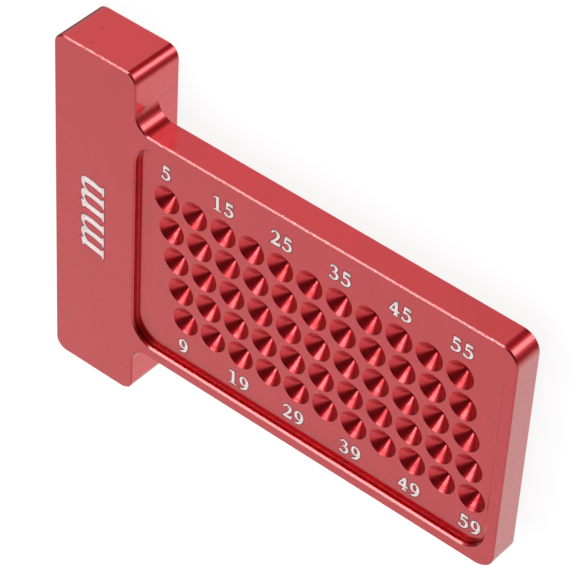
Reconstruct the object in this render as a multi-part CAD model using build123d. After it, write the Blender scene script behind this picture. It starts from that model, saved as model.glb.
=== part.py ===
from build123d import *
import os
from math import radians, tan

# A one-piece T-shaped marking-out ruler, milled from one bar of aluminium.
# Millimetres. The origin is on the zero line, where the fence face meets the blade's underside,
# at mid width. +X runs out along the blade and +Z points up out of the scale face.

# The scale: a skewed grid of pencil holes, each row one step further out than the row before it
hole_columns = 11
hole_rows = 5
column_pitch = 5.0
row_pitch = 5.0
row_step = 1.0
first_mark = 5.0

# Each pencil hole: a wide cone that leads the pencil into a fine hole through the blade
cone_mouth = 4.5
cone_angle = 90.0
lead_hole = 1.0

# The pocket that sinks the scale below the front face
number_band = 8.0
pocket_end_margin = 3.1
pocket_depth = 1.0
pocket_corner_radius = 4.0
pocket_floor_fillet = 0.2
pocket_mouth_chamfer = 0.26

# The blade around the pocket
side_rim = 2.0
end_rim = 2.0
blade_thickness = 4.8
blade_corner_radius = 2.8

# The head across the blade's end, level with the blade in front and hanging below it as the fence
head_width = 14.7
head_overhang = 9.0
head_corner_radius = 2.0
junction_radius = 2.8
fence_drop = 4.0

# The small break on every outer edge
edge_chamfer = 0.2

# What follows from the scale and its pocket
last_mark = first_mark + (hole_columns - 1) * column_pitch + (hole_rows - 1) * row_step
pocket_length = last_mark + pocket_end_margin
pocket_width = (hole_rows - 1) * row_pitch + 2 * number_band
blade_length = pocket_length + end_rim
blade_width = pocket_width + 2 * side_rim
head_length = blade_width + 2 * head_overhang
floor_height = blade_thickness - pocket_depth


def head_outline():
    """The head seen from the front, a bar with four rounded corners."""
    bar = Pos(-head_width / 2, 0) * Rectangle(head_width, head_length)
    return fillet(bar.vertices(), head_corner_radius)


def front_outline():
    """The whole ruler seen from the front: the T of head and blade, with its inner corners filled."""
    reach = blade_length + head_width
    blade = Pos(blade_length - reach / 2, 0) * Rectangle(reach, blade_width)
    tee = head_outline() + blade
    tee = fillet(tee.vertices().group_by(Axis.X)[-1], blade_corner_radius)
    inner_corners = [
        v for v in tee.vertices() if abs(v.X) < 0.01 and abs(abs(v.Y) - blade_width / 2) < 0.01
    ]
    return fillet(inner_corners, junction_radius)


def plate():
    """The blade and the front of the head, one plate with its front and back edges broken."""
    slab = extrude(front_outline(), blade_thickness)
    levels = slab.edges().group_by(Axis.Z)
    return chamfer(levels[0] + levels[-1], edge_chamfer)


def fence_bar():
    """The head's full depth, up into the plate, with its back edges broken."""
    bar = Pos(0, 0, -fence_drop) * extrude(head_outline(), fence_drop + blade_thickness / 2)
    return chamfer(bar.edges().group_by(Axis.Z)[0], edge_chamfer)


def pocket():
    """What the end mill takes out: a shallow round-cornered bed with a small radius at its floor."""
    outline = RectangleRounded(pocket_length, pocket_width, pocket_corner_radius)
    bed = Pos(pocket_length / 2, 0, floor_height) * extrude(outline, 2 * pocket_depth)
    return fillet(bed.edges().group_by(Axis.Z)[0], pocket_floor_fillet)


def blank():
    """The milled ruler before its holes are drilled, with the pocket's mouth broken."""
    body = plate() + fence_bar() - pocket()
    front_face = body.faces().sort_by(Axis.Z)[-1]
    mouth = front_face.inner_wires()[0].edges()
    return chamfer(mouth, pocket_mouth_chamfer)


def pencil_hole():
    """One cone and the fine hole below it, with the cone's mouth at the origin."""
    cone_depth = (cone_mouth - lead_hole) / 2 / tan(radians(cone_angle / 2))
    downwards = (Align.CENTER, Align.CENTER, Align.MAX)
    cone = Cone(lead_hole / 2, cone_mouth / 2, cone_depth, align=downwards)
    hole = Cylinder(lead_hole / 2, 2 * blade_thickness, align=downwards)
    return cone + hole


def hole_places():
    """The holes' centres on the pocket floor. The first row is at the +Y side."""
    first_row = (hole_rows - 1) * row_pitch / 2
    return [
        Pos(first_mark + column * column_pitch + row * row_step, first_row - row * row_pitch, floor_height)
        for row in range(hole_rows)
        for column in range(hole_columns)
    ]


ruler_body = blank() - [place * pencil_hole() for place in hole_places()]
ruler_body.label = "ruler_body"

os.makedirs("parts", exist_ok=True)
export_step(ruler_body, "parts/ruler_body.step")
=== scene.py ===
from math import cos, hypot, pi, radians, sin

import bpy
from mathutils import Matrix


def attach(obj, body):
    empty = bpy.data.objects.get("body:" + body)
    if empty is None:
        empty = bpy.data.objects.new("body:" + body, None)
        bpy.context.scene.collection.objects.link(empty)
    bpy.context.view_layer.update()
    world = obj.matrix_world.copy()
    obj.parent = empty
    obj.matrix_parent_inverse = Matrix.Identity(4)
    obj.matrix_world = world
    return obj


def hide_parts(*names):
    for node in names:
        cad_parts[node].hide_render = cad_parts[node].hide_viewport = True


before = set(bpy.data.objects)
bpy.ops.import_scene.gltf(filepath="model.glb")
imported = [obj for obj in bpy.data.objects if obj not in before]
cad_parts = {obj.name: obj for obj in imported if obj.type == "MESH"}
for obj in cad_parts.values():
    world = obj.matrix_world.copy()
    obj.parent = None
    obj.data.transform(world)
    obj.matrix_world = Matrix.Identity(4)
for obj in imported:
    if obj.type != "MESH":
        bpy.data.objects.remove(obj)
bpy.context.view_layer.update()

# The view. A camera with a long lens looks down on the ruler, from beyond the blade's end and from the
# first row's side. Lengths are written in millimetres, which `mm` turns into Blender's metres.
mm = 0.001

scene = bpy.context.scene
scene.view_settings.view_transform = "Standard"

camera_data = bpy.data.cameras.new("camera")
camera_data.sensor_width = 36
camera_data.lens = 192.06
camera_data.clip_start = 0.01
camera_data.clip_end = 20
camera = bpy.data.objects.new("camera", camera_data)
camera.location = (209.04 * mm, 282.45 * mm, 241.54 * mm)
camera.rotation_euler = (radians(-40.4395), radians(39.8493), radians(3.3798))
scene.collection.objects.link(camera)
scene.camera = camera


# The ruler's body, one block of aluminium: a head with a fence behind it, and a blade with a sunken
# scale face. It is milled from bar, its edges are broken all round, and it is dyed red.
head_width = 14.7 * mm
head_length = 58 * mm
head_corner = 2 * mm
fence_drop = 4 * mm
blade_length = 64.1 * mm
blade_width = 40 * mm
blade_thickness = 4.8 * mm
blade_corner = 2.8 * mm
inner_corner = 2.8 * mm
edge_break = 0.2 * mm
corner_steps = 18

# Places closer than a hair are the same place, a face whose normal is over `square_on` looks along that
# axis, points within the weld are one, and faces that turn less than `flat` are one face
hair = 0.004 * mm
square_on = 0.9
weld = 0.001 * mm
flat = radians(0.5)


def take(*pieces):
    """Leave any edit and select these pieces alone, with the first one active."""
    if bpy.context.object and bpy.context.object.mode != "OBJECT":
        bpy.ops.object.mode_set(mode="OBJECT")
    bpy.ops.object.select_all(action="DESELECT")
    for piece in pieces:
        piece.select_set(True)
    if pieces:
        bpy.context.view_layer.objects.active = pieces[0]


def block(name, low, high):
    """A box between two corners, applied and left open for editing."""
    take()
    middle = [(a + b) / 2 for a, b in zip(low, high)]
    bpy.ops.mesh.primitive_cube_add(size=1, location=middle)
    piece = bpy.context.object
    piece.name = name
    piece.scale = [b - a for a, b in zip(low, high)]
    bpy.ops.object.transform_apply(location=True, rotation=True, scale=True)
    bpy.ops.object.mode_set(mode="EDIT")
    return piece


def pick(piece, kind, wanted):
    """Select the faces, edges or points of the piece being edited that pass the wanted test."""
    bpy.ops.mesh.select_mode(type=kind)
    bpy.ops.mesh.select_all(action="DESELECT")
    bpy.ops.object.mode_set(mode="OBJECT")
    data = piece.data
    if kind == "FACE":
        for face in data.polygons:
            face.select = wanted(face)
    elif kind == "EDGE":
        for edge in data.edges:
            a, b = (data.vertices[i].co for i in edge.vertices)
            edge.select = wanted(a, b)
    else:
        for vertex in data.vertices:
            vertex.select = wanted(vertex.co)
    bpy.ops.object.mode_set(mode="EDIT")


def near(a, b):
    """Whether two places along an axis are the same."""
    return abs(a - b) < hair


def upright_at(places):
    """A test for the upright edges that stand at one of the (x, y) places."""
    def wanted(a, b):
        upright = near(a.x, b.x) and near(a.y, b.y) and not near(a.z, b.z)
        return upright and any(near(a.x, x) and near(a.y, y) for x, y in places)
    return wanted


def level_at(height):
    """A test for the edges that lie at one height."""
    return lambda a, b: near(a.z, height) and near(b.z, height)


def round_off(size, steps=1):
    """Round the selected edges in steps, or break them with a single flat."""
    bpy.ops.mesh.bevel(offset=size, offset_type="OFFSET", segments=steps, affect="EDGES")


def cut_with(piece, tool, operation):
    """Add the tool's shape to the piece or take it away, and throw the tool away."""
    take(piece)
    cut = piece.modifiers.new("cut", "BOOLEAN")
    cut.operation = operation
    cut.solver = "EXACT"
    cut.object = tool
    bpy.ops.object.modifier_apply(modifier=cut.name)
    bpy.data.objects.remove(tool)


half_head = head_length / 2
half_blade = blade_width / 2
head_corners = [(x, y) for x in (-head_width, 0) for y in (-half_head, half_head)]

body = block("ruler", (-head_width, -half_head, 0), (0, half_head, blade_thickness))
for side in (1, -1):
    bpy.ops.mesh.select_all(action="SELECT")
    bpy.ops.mesh.bisect(plane_co=(0, side * half_blade, 0), plane_no=(0, 1, 0))
pick(body, "FACE", lambda f: f.normal.x > square_on and abs(f.center.y) < half_blade)
bpy.ops.mesh.extrude_region_move(TRANSFORM_OT_translate={"value": (blade_length, 0, 0)})
pick(body, "EDGE", upright_at([(-head_width, half_blade), (-head_width, -half_blade)]))
bpy.ops.mesh.dissolve_edges()
pick(body, "FACE", lambda f: abs(f.normal.z) > square_on)
bpy.ops.mesh.dissolve_faces()
pick(body, "EDGE", upright_at(head_corners))
round_off(head_corner, corner_steps)
pick(body, "EDGE", upright_at([(blade_length, half_blade), (blade_length, -half_blade)]))
round_off(blade_corner, corner_steps)
pick(body, "EDGE", upright_at([(0, half_blade), (0, -half_blade)]))
round_off(inner_corner, corner_steps)
pick(body, "EDGE", lambda a, b: near(a.z, b.z))
round_off(edge_break)

fence = block("fence", (-head_width, -half_head, -fence_drop), (0, half_head, blade_thickness / 2))
pick(fence, "EDGE", upright_at(head_corners))
round_off(head_corner, corner_steps)
pick(fence, "EDGE", level_at(-fence_drop))
round_off(edge_break)
cut_with(body, fence, "UNION")

# The fence runs on from the plate in one piece, so the seam between them goes
bpy.ops.object.mode_set(mode="EDIT")
bpy.ops.mesh.select_all(action="SELECT")
bpy.ops.mesh.remove_doubles(threshold=weld)
bpy.ops.mesh.dissolve_limited(angle_limit=flat)


# The pocket that sinks the scale face. An end mill cuts it into the blade's front, which leaves round
# corners and a small radius along the foot of its wall. Its mouth is broken like the other edges.
pocket_length = 62.1 * mm
pocket_width = 36 * mm
pocket_floor = 3.8 * mm
pocket_corner = 4 * mm
pocket_corner_steps = 24
floor_radius = 0.2 * mm
floor_radius_steps = 4
mouth_break = 0.26 * mm
arc_slack = 0.01 * mm

half_pocket = pocket_width / 2
bed = block("bed", (0, -half_pocket, pocket_floor), (pocket_length, half_pocket, 2 * blade_thickness))
pick(bed, "EDGE", lambda a, b: not near(a.z, b.z))
round_off(pocket_corner, pocket_corner_steps)
pick(bed, "EDGE", level_at(pocket_floor))
round_off(floor_radius, floor_radius_steps)
cut_with(body, bed, "DIFFERENCE")


def on_outline(p):
    """Whether a point stands on the pocket's outline, on a straight side or a round corner."""
    inside = -hair <= p.x <= pocket_length + hair and abs(p.y) <= half_pocket + hair
    dx = min(p.x, pocket_length - p.x)
    dy = half_pocket - abs(p.y)
    if dx < pocket_corner and dy < pocket_corner:
        from_centre = hypot(pocket_corner - dx, pocket_corner - dy)
        return inside and abs(from_centre - pocket_corner) < arc_slack
    return inside and min(dx, dy) < hair


at_front = level_at(blade_thickness)
bpy.ops.object.mode_set(mode="EDIT")
pick(body, "EDGE", lambda a, b: at_front(a, b) and on_outline(a) and on_outline(b))
round_off(mouth_break)


# The pencil holes: 55 cones turned with a countersink, each over a fine hole drilled through the blade.
# They stand in 5 rows of 11, and each row stands a millimetre further out than the row before it.
cone_mouth = 4.5 * mm
lead_hole = 1.0 * mm
hole_sides = 64
hole_columns = 11
hole_rows = 5
pitch = 5.0 * mm
row_step = 1.0 * mm
first_mark = 5.0 * mm
drill_length = 8 * mm
headroom = 0.4 * mm
smooth_below = radians(28)

cone_depth = (cone_mouth - lead_hole) / 2
middle_row = (hole_rows - 1) / 2

take()
bpy.ops.mesh.primitive_cylinder_add(
    vertices=hole_sides, radius=lead_hole / 2, depth=drill_length, location=(0, 0, -drill_length / 2)
)
countersink = bpy.context.object
countersink.name = "countersink"
bpy.ops.object.transform_apply(location=True, rotation=True, scale=True)
bpy.ops.object.mode_set(mode="EDIT")
pick(countersink, "VERT", lambda v: near(v.z, 0))
bpy.ops.transform.translate(value=(0, 0, -cone_depth))
pick(countersink, "FACE", lambda f: f.normal.z > square_on)
bpy.ops.mesh.extrude_region_move(TRANSFORM_OT_translate={"value": (0, 0, cone_depth + headroom)})
widening = (cone_mouth / 2 + headroom) / (lead_hole / 2)
bpy.ops.transform.resize(value=(widening, widening, 1), center_override=(0, 0, 0))
take()

drills = []
for row in range(hole_rows):
    for column in range(hole_columns):
        drill = countersink.copy()
        drill.data = countersink.data.copy()
        scene.collection.objects.link(drill)
        drill_x = first_mark + column * pitch + row * row_step
        drill.location = (drill_x, (middle_row - row) * pitch, pocket_floor)
        drills.append(drill)
bpy.data.objects.remove(countersink)
take(*drills)
bpy.ops.object.join()
holes = bpy.context.object
bpy.ops.object.transform_apply(location=True, rotation=True, scale=True)
cut_with(body, holes, "DIFFERENCE")

bpy.ops.object.shade_smooth_by_angle(angle=smooth_below)
even = body.modifiers.new("even", "WEIGHTED_NORMAL")
even.mode = "FACE_AREA"
even.keep_sharp = True
bpy.ops.object.modifier_apply(modifier=even.name)

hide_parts("ruler_body")
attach(body, "root")


# The red finish: a clear hard oxide skin, dyed red, over satin milled aluminium. The cutter left faint
# marks along the faces, and the broken edges at the front are a little chipped.
dyed_red = (0.76, 0.010, 0.022, 1)
deep_red = (0.46, 0.004, 0.010, 1)
end_sheen_red = (0.58, 0.060, 0.060, 1)
speck_red = (0.22, 0.002, 0.006, 1)
bare_chip = (0.80, 0.30, 0.30, 1)
dark_chip = (0.12, 0.002, 0.004, 1)


def put(tree, kind, **settings):
    """Add a node with some of its settings."""
    node = tree.nodes.new(kind)
    for name, value in settings.items():
        setattr(node, name, value)
    return node


def feed(tree, node, *values):
    """Give a node's inputs, in order, a link or a plain value. None leaves one as it is."""
    for socket, value in zip(node.inputs, values):
        if isinstance(value, bpy.types.NodeSocket):
            tree.links.new(value, socket)
        elif value is not None:
            socket.default_value = value
    return node


def maths(tree, operation, *values):
    """The result of one sum, such as ADD or ABSOLUTE."""
    return feed(tree, put(tree, "ShaderNodeMath", operation=operation), *values).outputs[0]


def times(tree, first, *others):
    """The numbers multiplied together."""
    product = first
    for other in others:
        product = maths(tree, "MULTIPLY", product, other)
    return product


def split(tree, vector):
    """The x, y and z of a place or a direction."""
    return feed(tree, put(tree, "ShaderNodeSeparateXYZ"), vector).outputs


def ramp(tree, value, start, end, low=0.0, high=1.0):
    """Run smoothly from low to high as the value goes from start to end."""
    node = put(tree, "ShaderNodeMapRange", interpolation_type="SMOOTHSTEP")
    return feed(tree, node, value, start, end, low, high).outputs[0]


def blend(tree, share, first, second):
    """A colour between two others."""
    node = put(tree, "ShaderNodeMix", data_type="RGBA")
    for name, value in (("Factor_Float", share), ("A_Color", first), ("B_Color", second)):
        socket = next(i for i in node.inputs if i.identifier == name)
        if isinstance(value, bpy.types.NodeSocket):
            tree.links.new(value, socket)
        else:
            socket.default_value = value
    return next(o for o in node.outputs if o.identifier == "Result_Color")


def noise(tree, place, scale, detail=2.0, stretch=(1, 1, 1)):
    """Noise over a place in millimetres, drawn out along an axis where stretch is below 1."""
    moved = put(tree, "ShaderNodeVectorMath", operation="MULTIPLY")
    node = put(tree, "ShaderNodeTexNoise")
    tree.links.new(feed(tree, moved, place, stretch).outputs[0], node.inputs["Vector"])
    node.inputs["Scale"].default_value = scale
    node.inputs["Detail"].default_value = detail
    return node.outputs["Fac"]


def start_finish(name):
    """A new material, its nodes, its shader, and the place on the piece in millimetres."""
    finish = bpy.data.materials.new(name)
    finish.use_nodes = True
    tree = finish.node_tree
    in_metres = put(tree, "ShaderNodeTexCoord").outputs["Object"]
    larger = put(tree, "ShaderNodeVectorMath", operation="MULTIPLY")
    place = feed(tree, larger, in_metres, (1 / mm, 1 / mm, 1 / mm)).outputs[0]
    return finish, tree, tree.nodes["Principled BSDF"], place


def raise_surface(tree, shader, height, *sockets):
    """Show a height in millimetres in the shader's normals."""
    bump = put(tree, "ShaderNodeBump")
    bump.inputs["Distance"].default_value = mm
    tree.links.new(height, bump.inputs["Height"])
    for socket in sockets:
        tree.links.new(bump.outputs["Normal"], shader.inputs[socket])


red, tree, shader, place = start_finish("red anodised aluminium")
shader.inputs["Metallic"].default_value = 1
shader.inputs["Coat Weight"].default_value = 1
shader.inputs["Coat Roughness"].default_value = 0.12
shader.inputs["Coat IOR"].default_value = 1.7
x, y, z = split(tree, place)
_, normal_y, normal_z = split(tree, put(tree, "ShaderNodeTexCoord").outputs["Normal"])

# Faint cloudiness of the dye, and the marks that the cutter left along the blade
cloud = ramp(tree, noise(tree, place, 0.16, 3), 0.3, 0.7)
streaks = noise(tree, place, 3.0, 2, (0.05, 1, 1))
colour = blend(tree, times(tree, cloud, 0.12), dyed_red, deep_red)
colour = blend(tree, times(tree, streaks, 0.06), colour, deep_red)

# The end face is painted paler, a painted sheen for its whiter slanting reflection, with upright saw
# marks
end_x = blade_length / mm
at_end = ramp(tree, x, end_x - 0.15, end_x - 0.02)
end_marks = noise(tree, place, 1.6, 2, (1, 1, 0.05))
sheened_end = blend(tree, ramp(tree, end_marks, 0.35, 0.7, 0, 0.08), end_sheen_red, dyed_red)
colour = blend(tree, at_end, colour, sheened_end)

# Small specks in the dye on the head's end and on the fence: the place of each, and its reach
specks = (
    ((-10.4, 29, 0.1), 0.42),
    ((-9.2, 29, 3.3), 0.34),
    ((0, 28.5, 0.1), 0.16),
    ((-3.4, 29, -2.2), 0.14),
)
uneven = times(tree, maths(tree, "SUBTRACT", noise(tree, place, 4.0, 2), 0.5), 0.5)
for speck, reach in specks:
    apart = put(tree, "ShaderNodeVectorMath", operation="DISTANCE")
    away = maths(tree, "ADD", feed(tree, apart, place, speck).outputs["Value"], uneven)
    colour = blend(tree, ramp(tree, away, reach, 0.3 * reach, 0, 0.55), colour, speck_red)

# A thin darker line on the fence, on either side of the blade, where the blade's cutter stopped
cutter_stop = (half_blade + inner_corner) / mm
from_line = maths(tree, "ABSOLUTE", maths(tree, "SUBTRACT", maths(tree, "ABSOLUTE", y), cutter_stop))
on_fence = times(tree, ramp(tree, x, -0.1, -0.02), ramp(tree, x, 0.1, 0.02))
below = ramp(tree, z, 0.0, -0.1)
line = times(tree, times(tree, on_fence, below), ramp(tree, from_line, 0.16, 0.04, 0, 0.6))
colour = blend(tree, line, colour, deep_red)

# The broken front edges are painted darker, a painted shade for the dark red they mirror, and those on
# the first row's side are chipped, some chips pale and some dark
break_foot = (blade_thickness - edge_break) / mm
side_y = half_blade / mm
on_break = times(
    tree, ramp(tree, z, break_foot - 0.08, break_foot - 0.04), ramp(tree, normal_z, 0.95, 0.8)
)
on_chipped = times(
    tree, on_break, ramp(tree, normal_y, 0.3, 0.6), ramp(tree, y, side_y - 1.0, side_y - 0.6)
)
chips = noise(tree, place, 1.5, 3)
pale_chips = times(tree, on_chipped, ramp(tree, chips, 0.58, 0.66, 0, 0.8))
dark_chips = times(tree, on_chipped, ramp(tree, chips, 0.36, 0.30, 0, 0.9))
colour = blend(tree, times(tree, on_break, 0.3), colour, deep_red)
colour = blend(tree, pale_chips, colour, bare_chip)
colour = blend(tree, dark_chips, colour, dark_chip)
tree.links.new(colour, shader.inputs["Base Color"])

# The satin ground, and the heights of its grain, of the cutter's marks and of the chips
rough = ramp(tree, noise(tree, place, 1.2, 3), 0.3, 0.7, 0.38, 0.45)
tree.links.new(rough, shader.inputs["Roughness"])
grain = times(tree, noise(tree, place, 5.0, 3), 0.0014)
marks = times(tree, streaks, 0.0016)
torn = times(tree, times(tree, chips, on_chipped), 0.02)
height = maths(tree, "ADD", maths(tree, "ADD", grain, marks), torn)
raise_surface(tree, shader, height, "Normal", "Coat Normal")


# The cones' finish: the same dyed skin over metal that the countersink turned, which leaves fine rings
# round each hole, cut more deeply here and there. They are a wave over the distance from the nearest
# hole's centre, with its rate in radians a millimetre and its height in millimetres.
ring_rate = 20.0
ring_height = 0.0050

turned, tree, shader, place = start_finish("red turned cones")
shader.inputs["Metallic"].default_value = 1
shader.inputs["Coat Weight"].default_value = 1
shader.inputs["Coat Roughness"].default_value = 0.10
shader.inputs["Coat IOR"].default_value = 1.5
x, y, _ = split(tree, place)

pitch_mm = pitch / mm
first_row_y = middle_row * pitch_mm
row = maths(tree, "ROUND", maths(tree, "DIVIDE", maths(tree, "SUBTRACT", first_row_y, y), pitch_mm))
off_y = maths(tree, "ADD", y, maths(tree, "SUBTRACT", times(tree, row, pitch_mm), first_row_y))
out = maths(tree, "SUBTRACT", maths(tree, "SUBTRACT", x, row), first_mark / mm)
column = maths(tree, "ROUND", maths(tree, "DIVIDE", out, pitch_mm))
off_x = maths(tree, "SUBTRACT", out, times(tree, column, pitch_mm))
radius = maths(tree, "SQRT", maths(tree, "ADD", times(tree, off_x, off_x), times(tree, off_y, off_y)))

wander = times(tree, noise(tree, place, 0.9, 1), 2.5)
wave = maths(tree, "SINE", maths(tree, "ADD", times(tree, radius, ring_rate), wander))
rings = times(tree, wave, ramp(tree, noise(tree, place, 0.7, 2), 0.35, 0.65, 0.3, 1.0))
colour = blend(tree, ramp(tree, rings, -1.0, 1.0, 0.18, 0.0), dyed_red, deep_red)
tree.links.new(colour, shader.inputs["Base Color"])
rough = ramp(tree, noise(tree, place, 1.5, 2), 0.3, 0.7, 0.34, 0.40)
tree.links.new(rough, shader.inputs["Roughness"])
raise_surface(tree, shader, times(tree, rings, ring_height), "Normal", "Coat Normal")


# The finish of the pocket's wall: the side of the end mill cut it, in upright marks. Its darker red
# and thin clear skin are a painted shade, for the dark red that the wall mirrors inside the pocket.
shaded_wall_red = (0.52, 0.003, 0.008, 1)
deep_shaded_wall_red = (0.42, 0.002, 0.006, 1)

wall, tree, shader, place = start_finish("red pocket wall")
shader.inputs["Metallic"].default_value = 1
shader.inputs["Coat Weight"].default_value = 0.3
shader.inputs["Coat Roughness"].default_value = 0.12
shader.inputs["Coat IOR"].default_value = 1.7
mill_marks = noise(tree, place, 1.2, 2, (1, 1, 0.1))
colour = blend(tree, ramp(tree, mill_marks, 0.3, 0.7), shaded_wall_red, deep_shaded_wall_red)
tree.links.new(colour, shader.inputs["Base Color"])
rough = ramp(tree, mill_marks, 0.3, 0.7, 0.30, 0.36)
tree.links.new(rough, shader.inputs["Roughness"])

# Each face of the body takes its finish by its place and slope
cone_slope = cos(radians(45))
field_start = 3 * mm
field_end = 61 * mm
field_half = 12 * mm
slack = 0.05 * mm
slope_slack = 0.02
wall_top = blade_thickness - mouth_break

finishes = (red, turned, wall)
body.data.materials.clear()
for finish in finishes:
    body.data.materials.append(finish)
for face in body.data.polygons:
    centre = face.center
    slope = face.normal.z
    in_field = field_start < centre.x < field_end and abs(centre.y) < field_half
    in_cone = abs(slope - cone_slope) < slope_slack and centre.z < pocket_floor
    in_bore = in_field and abs(slope) < slope_slack and 0 < centre.z < pocket_floor - cone_depth
    in_pocket = -slack < centre.x < pocket_length + slack and abs(centre.y) < half_pocket + slack
    in_wall = in_pocket and slope < square_on and pocket_floor < centre.z < wall_top - hair
    finish = turned if in_cone or in_bore else wall if in_wall else red
    face.material_index = finishes.index(finish)


# The numbers: white figures burnt into the scale face beside every second hole of the outer rows, with
# a dark edge round each, and the unit's mark on the head. They stand no prouder than paint.
white_mark = (0.86, 0.71, 0.71, 1)
worn_mark = (0.77, 0.61, 0.61, 1)
burnt = (0.045, 0.004, 0.005, 1)
burnt_red = (0.12, 0.008, 0.010, 1)
figure_height = 2.40 * mm
figure_width = 0.80
figure_step = 1.97 * mm
figure_narrowing = 0.88
extra_weight = 0.03 * mm
paint_height = 0.012 * mm
dark_edge = 0.10 * mm
curve_steps = 6

white, tree, shader, place = start_finish("white marking")
shader.inputs["Roughness"].default_value = 0.6
patchy = ramp(tree, noise(tree, place, 2.4, 3), 0.35, 0.7)
tree.links.new(blend(tree, patchy, white_mark, worn_mark), shader.inputs["Base Color"])
raise_surface(tree, shader, times(tree, noise(tree, place, 7, 2), 0.01), "Normal")

dark, tree, shader, place = start_finish("burnt edge")
shader.inputs["Roughness"].default_value = 0.7
shader.inputs["Specular IOR Level"].default_value = 0.2
tree.links.new(blend(tree, noise(tree, place, 3, 2), burnt, burnt_red), shader.inputs["Base Color"])

# Each figure is drawn in a box one unit high, and no digit is wider than `figure_width`: sharp
# corners "c" and smooth points "s", as how far across and how far up
figures = {
    "1": [
        "c.06,.86 c.06,.92 c.42,1 c.52,1 c.52,.12 c.58,.07 c.74,.06 c.74,0 c.08,0 c.08,.06 c.24,.07 "
        "c.30,.12 c.30,.82 c.24,.87",
    ],
    "2": [
        "s.07,.72 s.10,.88 s.38,1.01 s.66,.92 s.72,.73 s.62,.50 c.32,.19 s.60,.19 s.70,.22 c.74,.30 "
        "c.79,.30 c.74,0 c.03,0 c.03,.08 s.36,.42 s.50,.70 s.44,.86 s.30,.90 s.18,.84 s.14,.74",
    ],
    "3": [
        "s.09,.82 s.18,.95 s.38,1.01 s.62,.93 s.66,.76 c.52,.58 s.72,.46 s.76,.28 s.62,.06 s.34,-.02 "
        "s.10,.04 s.03,.14 s.12,.20 s.22,.13 s.36,.08 s.50,.15 s.55,.28 s.48,.44 c.26,.49 c.26,.55 "
        "s.42,.62 s.47,.76 s.40,.88 s.27,.90 s.16,.81",
    ],
    "4": [
        "c.46,1 c.64,1 c.64,.40 c.80,.40 c.80,.24 c.64,.24 c.64,.10 c.72,.05 c.72,0 c.34,0 c.34,.05 "
        "c.44,.10 c.44,.24 c.02,.24 c.02,.34",
        "c.44,.40 c.44,.78 c.16,.40",
    ],
    "5": [
        "c.20,1 c.70,1 c.74,.80 c.30,.80 c.27,.62 s.42,.65 s.66,.56 s.78,.33 s.66,.09 s.36,-.02 "
        "s.12,.02 s.03,.12 s.08,.21 s.18,.19 s.27,.11 s.40,.09 s.53,.18 s.57,.33 s.50,.48 s.34,.53 "
        "c.17,.47",
    ],
    "9": [
        "s.04,.66 s.12,.90 s.38,1.01 s.64,.92 s.78,.62 s.70,.28 s.48,.05 c.14,-.03 c.10,.03 s.36,.14 "
        "c.52,.36 s.30,.33 s.10,.44",
        "s.30,.48 s.42,.42 s.52,.49 s.55,.62 s.50,.83 s.39,.91 s.29,.86 s.24,.68",
    ],
    "m": [
        "c.04,0 c.04,.06 c.12,.09 c.12,.86 c.02,.90 c.02,.95 c.33,1.01 c.34,.86 s.46,.96 s.62,1.01 "
        "s.80,.95 c.88,.84 s1.0,.96 s1.16,1.01 s1.34,.94 s1.42,.76 c1.42,.09 c1.50,.06 c1.50,0 "
        "c1.12,0 c1.12,.06 c1.20,.09 s1.20,.72 s1.16,.84 s1.06,.86 s.94,.78 c.88,.70 c.88,.09 "
        "c.96,.06 c.96,0 c.58,0 c.58,.06 c.66,.09 s.66,.72 s.62,.84 s.52,.86 s.42,.80 c.34,.70 "
        "c.34,.09 c.42,.06 c.42,0",
    ],
}


def draw_layer(name, size, narrowing, slant, weight, height, finish):
    """Draw one figure as a filled outline of a little height. Its lower left is the origin."""
    outline = bpy.data.curves.new("figure " + name, "CURVE")
    outline.dimensions = "2D"
    outline.fill_mode = "FRONT"
    outline.resolution_u = curve_steps
    outline.offset = weight
    for line in figures[name]:
        points = line.split()
        spline = outline.splines.new("BEZIER")
        spline.use_cyclic_u = True
        spline.bezier_points.add(len(points) - 1)
        for point, words in zip(spline.bezier_points, points):
            across, up = (float(v) for v in words[1:].split(","))
            point.co = ((across * narrowing + slant * up) * size, up * size, 0)
            kind = "VECTOR" if words[0] == "c" else "AUTO"
            point.handle_left_type = point.handle_right_type = kind
    drawn = bpy.data.objects.new("figure", outline)
    scene.collection.objects.link(drawn)
    take(drawn)
    bpy.ops.object.convert(target="MESH")
    drawn = bpy.context.object
    drawn.data.materials.clear()
    drawn.data.materials.append(finish)
    bpy.ops.object.mode_set(mode="EDIT")
    bpy.ops.mesh.select_all(action="SELECT")
    bpy.ops.mesh.remove_doubles(threshold=weld)
    bpy.ops.mesh.extrude_region_move(TRANSFORM_OT_translate={"value": (0, 0, height)})
    bpy.ops.mesh.select_all(action="SELECT")
    bpy.ops.mesh.normals_make_consistent(inside=False)
    bpy.ops.object.mode_set(mode="OBJECT")
    return drawn


def draw_figure(name, size, narrowing=1.0, slant=0.0):
    """One figure in white, with its burnt edge as a slightly wider and lower layer under it."""
    wide = extra_weight + dark_edge
    face = draw_layer(name, size, narrowing, slant, extra_weight, paint_height, white)
    edge = draw_layer(name, size, narrowing, slant, wide, paint_height / 2, dark)
    take(face, edge)
    bpy.ops.object.join()
    return bpy.context.object


def lay_figure(original, x, y, z, turn=0.0):
    """A copy of a figure, with its own mesh, laid on the face with its lower left at a place."""
    copy = original.copy()
    copy.data = original.data.copy()
    scene.collection.objects.link(copy)
    copy.data.transform(Matrix.Translation((x, y, z)) @ Matrix.Rotation(turn, 4, "Z"))
    return copy


# The two rows of numbers: the first number of each, how far across the blade it stands, and how much
# the row climbs
number_rows = ((5, 14.58 * mm, 0.0032), (9, -14.90 * mm, 0))
last_number = 59

# How far along each number's middle stands from its hole, where that isn't the usual distance
usual_off = -0.12 * mm
off_hole = {
    5: -0.27 * mm, 25: -0.04 * mm, 9: -0.27 * mm, 29: -0.25 * mm, 39: -0.25 * mm, 49: -0.06 * mm,
    59: 0.18 * mm,
}

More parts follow.
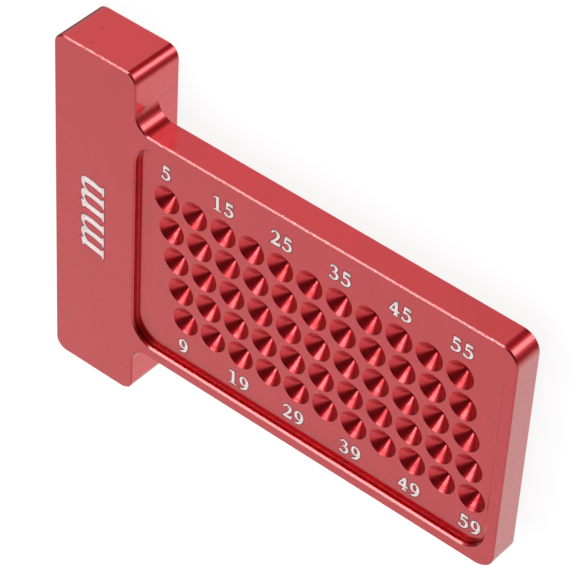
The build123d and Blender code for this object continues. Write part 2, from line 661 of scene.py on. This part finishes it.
widest = figure_width * figure_narrowing * figure_height
originals = {name: draw_figure(name, figure_height, figure_narrowing) for name in "123459"}
marking = []
for first, start_y, climb in number_rows:
    for number in range(first, last_number + 1, 10):
        text = str(number)
        middle_x = number * mm + off_hole.get(number, usual_off)
        middle_y = start_y + climb * (middle_x - first_mark)
        left = middle_x - (figure_step * (len(text) - 1) + widest) / 2
        for count, name in enumerate(text):
            x = left + count * figure_step
            marking.append(lay_figure(originals[name], x, middle_y - figure_height / 2, pocket_floor))

# The unit's mark runs up the head, as two slanted letters
unit_height = 4.2 * mm
unit_step = 1.66 * unit_height
unit_slant = 0.18
unit_x = -5.5 * mm
unit_start = -0.98 * unit_step
unit_letter = draw_figure("m", unit_height, slant=unit_slant)
for count in (0, 1):
    y = unit_start + count * unit_step
    marking.append(lay_figure(unit_letter, unit_x, y, blade_thickness, pi / 2))
for original in [*originals.values(), unit_letter]:
    bpy.data.objects.remove(original)

take(*marking)
bpy.ops.object.join()
numbers = bpy.context.object
numbers.name = "numbers"
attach(numbers, "root")


# The floor: a plain pale table under the fence. The camera sees it as white, but for the ruler's soft
# shadow, and the red metal sees the pale room instead of it.
table_size = 2.4
table_gap = 0.02 * mm
table_grey = (0.12, 0.12, 0.12, 1)
plain_white = (1, 1, 1, 1)
table_whiteness = 0.90

take()
bpy.ops.mesh.primitive_plane_add(size=table_size, location=(0, 0, -fence_drop - table_gap))
table = bpy.context.object
table.name = "table"
table.visible_glossy = False
pale, tree, shader, _ = start_finish("pale table")
shader.inputs["Base Color"].default_value = table_grey
shader.inputs["Roughness"].default_value = 1
shader.inputs["Specular IOR Level"].default_value = 0
shader.inputs["Emission Color"].default_value = plain_white
to_camera = put(tree, "ShaderNodeLightPath").outputs["Is Camera Ray"]
tree.links.new(times(tree, to_camera, table_whiteness), shader.inputs["Emission Strength"])
table.data.materials.append(pale)


# The room: soft light from pale walls, with the large soft lamps and the dark gaps between them that
# the red metal mirrors. The camera sees plain white behind the ruler.
world = bpy.data.worlds.new("room")
scene.world = world
world.use_nodes = True
room = world.node_tree
room.nodes.clear()
direction = put(room, "ShaderNodeTexCoord").outputs["Generated"]


def closeness(way):
    """How close the direction is to a way: the cosine of the angle between them."""
    dot = put(room, "ShaderNodeVectorMath", operation="DOT_PRODUCT")
    return feed(room, dot, direction, way).outputs["Value"]


def patch(azimuth, elevation, inner, outer):
    """1 within the inner angle of a direction, falling softly to 0 at the outer angle."""
    a = radians(azimuth)
    e = radians(elevation)
    near_middle = closeness((cos(a) * cos(e), sin(a) * cos(e), sin(e)))
    return ramp(room, near_middle, cos(radians(outer)), cos(radians(inner)))


def strip(azimuth, elevation, pole, half_width, edge, length, end):
    """1 along an arc through a direction, square to the pole, with soft edges and ends."""
    off = maths(room, "ABSOLUTE", closeness(pole))
    within = ramp(room, off, sin(radians(half_width + edge)), sin(radians(half_width)))
    return times(room, within, patch(azimuth, elevation, length - end, length))


def towards_level(light, level, where):
    """Move the light towards a level where the patch is 1."""
    mix = put(room, "ShaderNodeMix", data_type="FLOAT")
    return feed(room, mix, where, None, light, level).outputs[0]


# Each stretch of the room: its level, its azimuth and elevation, and the angles from its middle at
# which it begins to fade and is gone. A later one lies over those before it.
room_level = 0.42
stretches = (
    (0.57, 234, 38, 22, 40),
    (0.85, -56, 20, 24, 42),
    (0.88, -124, 35, 8, 16),
    (0.05, 40, 46, 26, 42),
    (0.8, 230, 83, 6, 18),
    (0.10, 113, 67, 8, 18),
    (2.0, 126, -12, 17, 30),
    (0.66, 142, -37, 9, 26),
    (1.0, -48, -34, 12, 28),
    (0.95, -106, -36, 12, 27),
    (0.7, 48, -34, 15, 25),
    (0.06, 89, -36, 6, 19),
    (0.14, 4, -36, 6, 16),
    (0.13, 208, -36, 16, 27),
    (0.10, 126, 31, 7, 13),
    (0.10, 178, 18, 15, 27),
    (0.55, 148, 36, 4, 14),
    (3.8, 48, -36, 4, 15),
)
light = room_level
for level, azimuth, elevation, inner, outer in stretches:
    light = towards_level(light, level, patch(azimuth, elevation, inner, outer))

# The long lamp that draws the streak down the corners and the cones
lamp_pole = (0.036, -0.759, 0.650)
long_lamp_level = 7.0
long_lamp = strip(126, 43, lamp_pole, half_width=3.0, edge=2.0, length=18, end=8)
light = towards_level(light, long_lamp_level, long_lamp)

around = feed(room, put(room, "ShaderNodeBackground"), plain_white, light)
behind = feed(room, put(room, "ShaderNodeBackground"), plain_white, 1)
to_camera = put(room, "ShaderNodeLightPath").outputs["Is Camera Ray"]
seen = put(room, "ShaderNodeMixShader")
feed(room, seen, to_camera, around.outputs["Background"], behind.outputs["Background"])
feed(room, put(room, "ShaderNodeOutputWorld"), seen.outputs["Shader"])


# The soft lamp: one broad lamp over the table, for what is matt, the numbers and the table itself. The
# metal doesn't mirror it and shows the room alone.
lamp_size = 1.2
lamp_height = 1.0
lamp_power = 9

lamp_data = bpy.data.lights.new("soft lamp", "AREA")
lamp_data.size = lamp_size
lamp_data.energy = lamp_power
lamp = bpy.data.objects.new("soft lamp", lamp_data)
lamp.location = (0, 0, lamp_height)
lamp.visible_glossy = False
scene.collection.objects.link(lamp)

take()
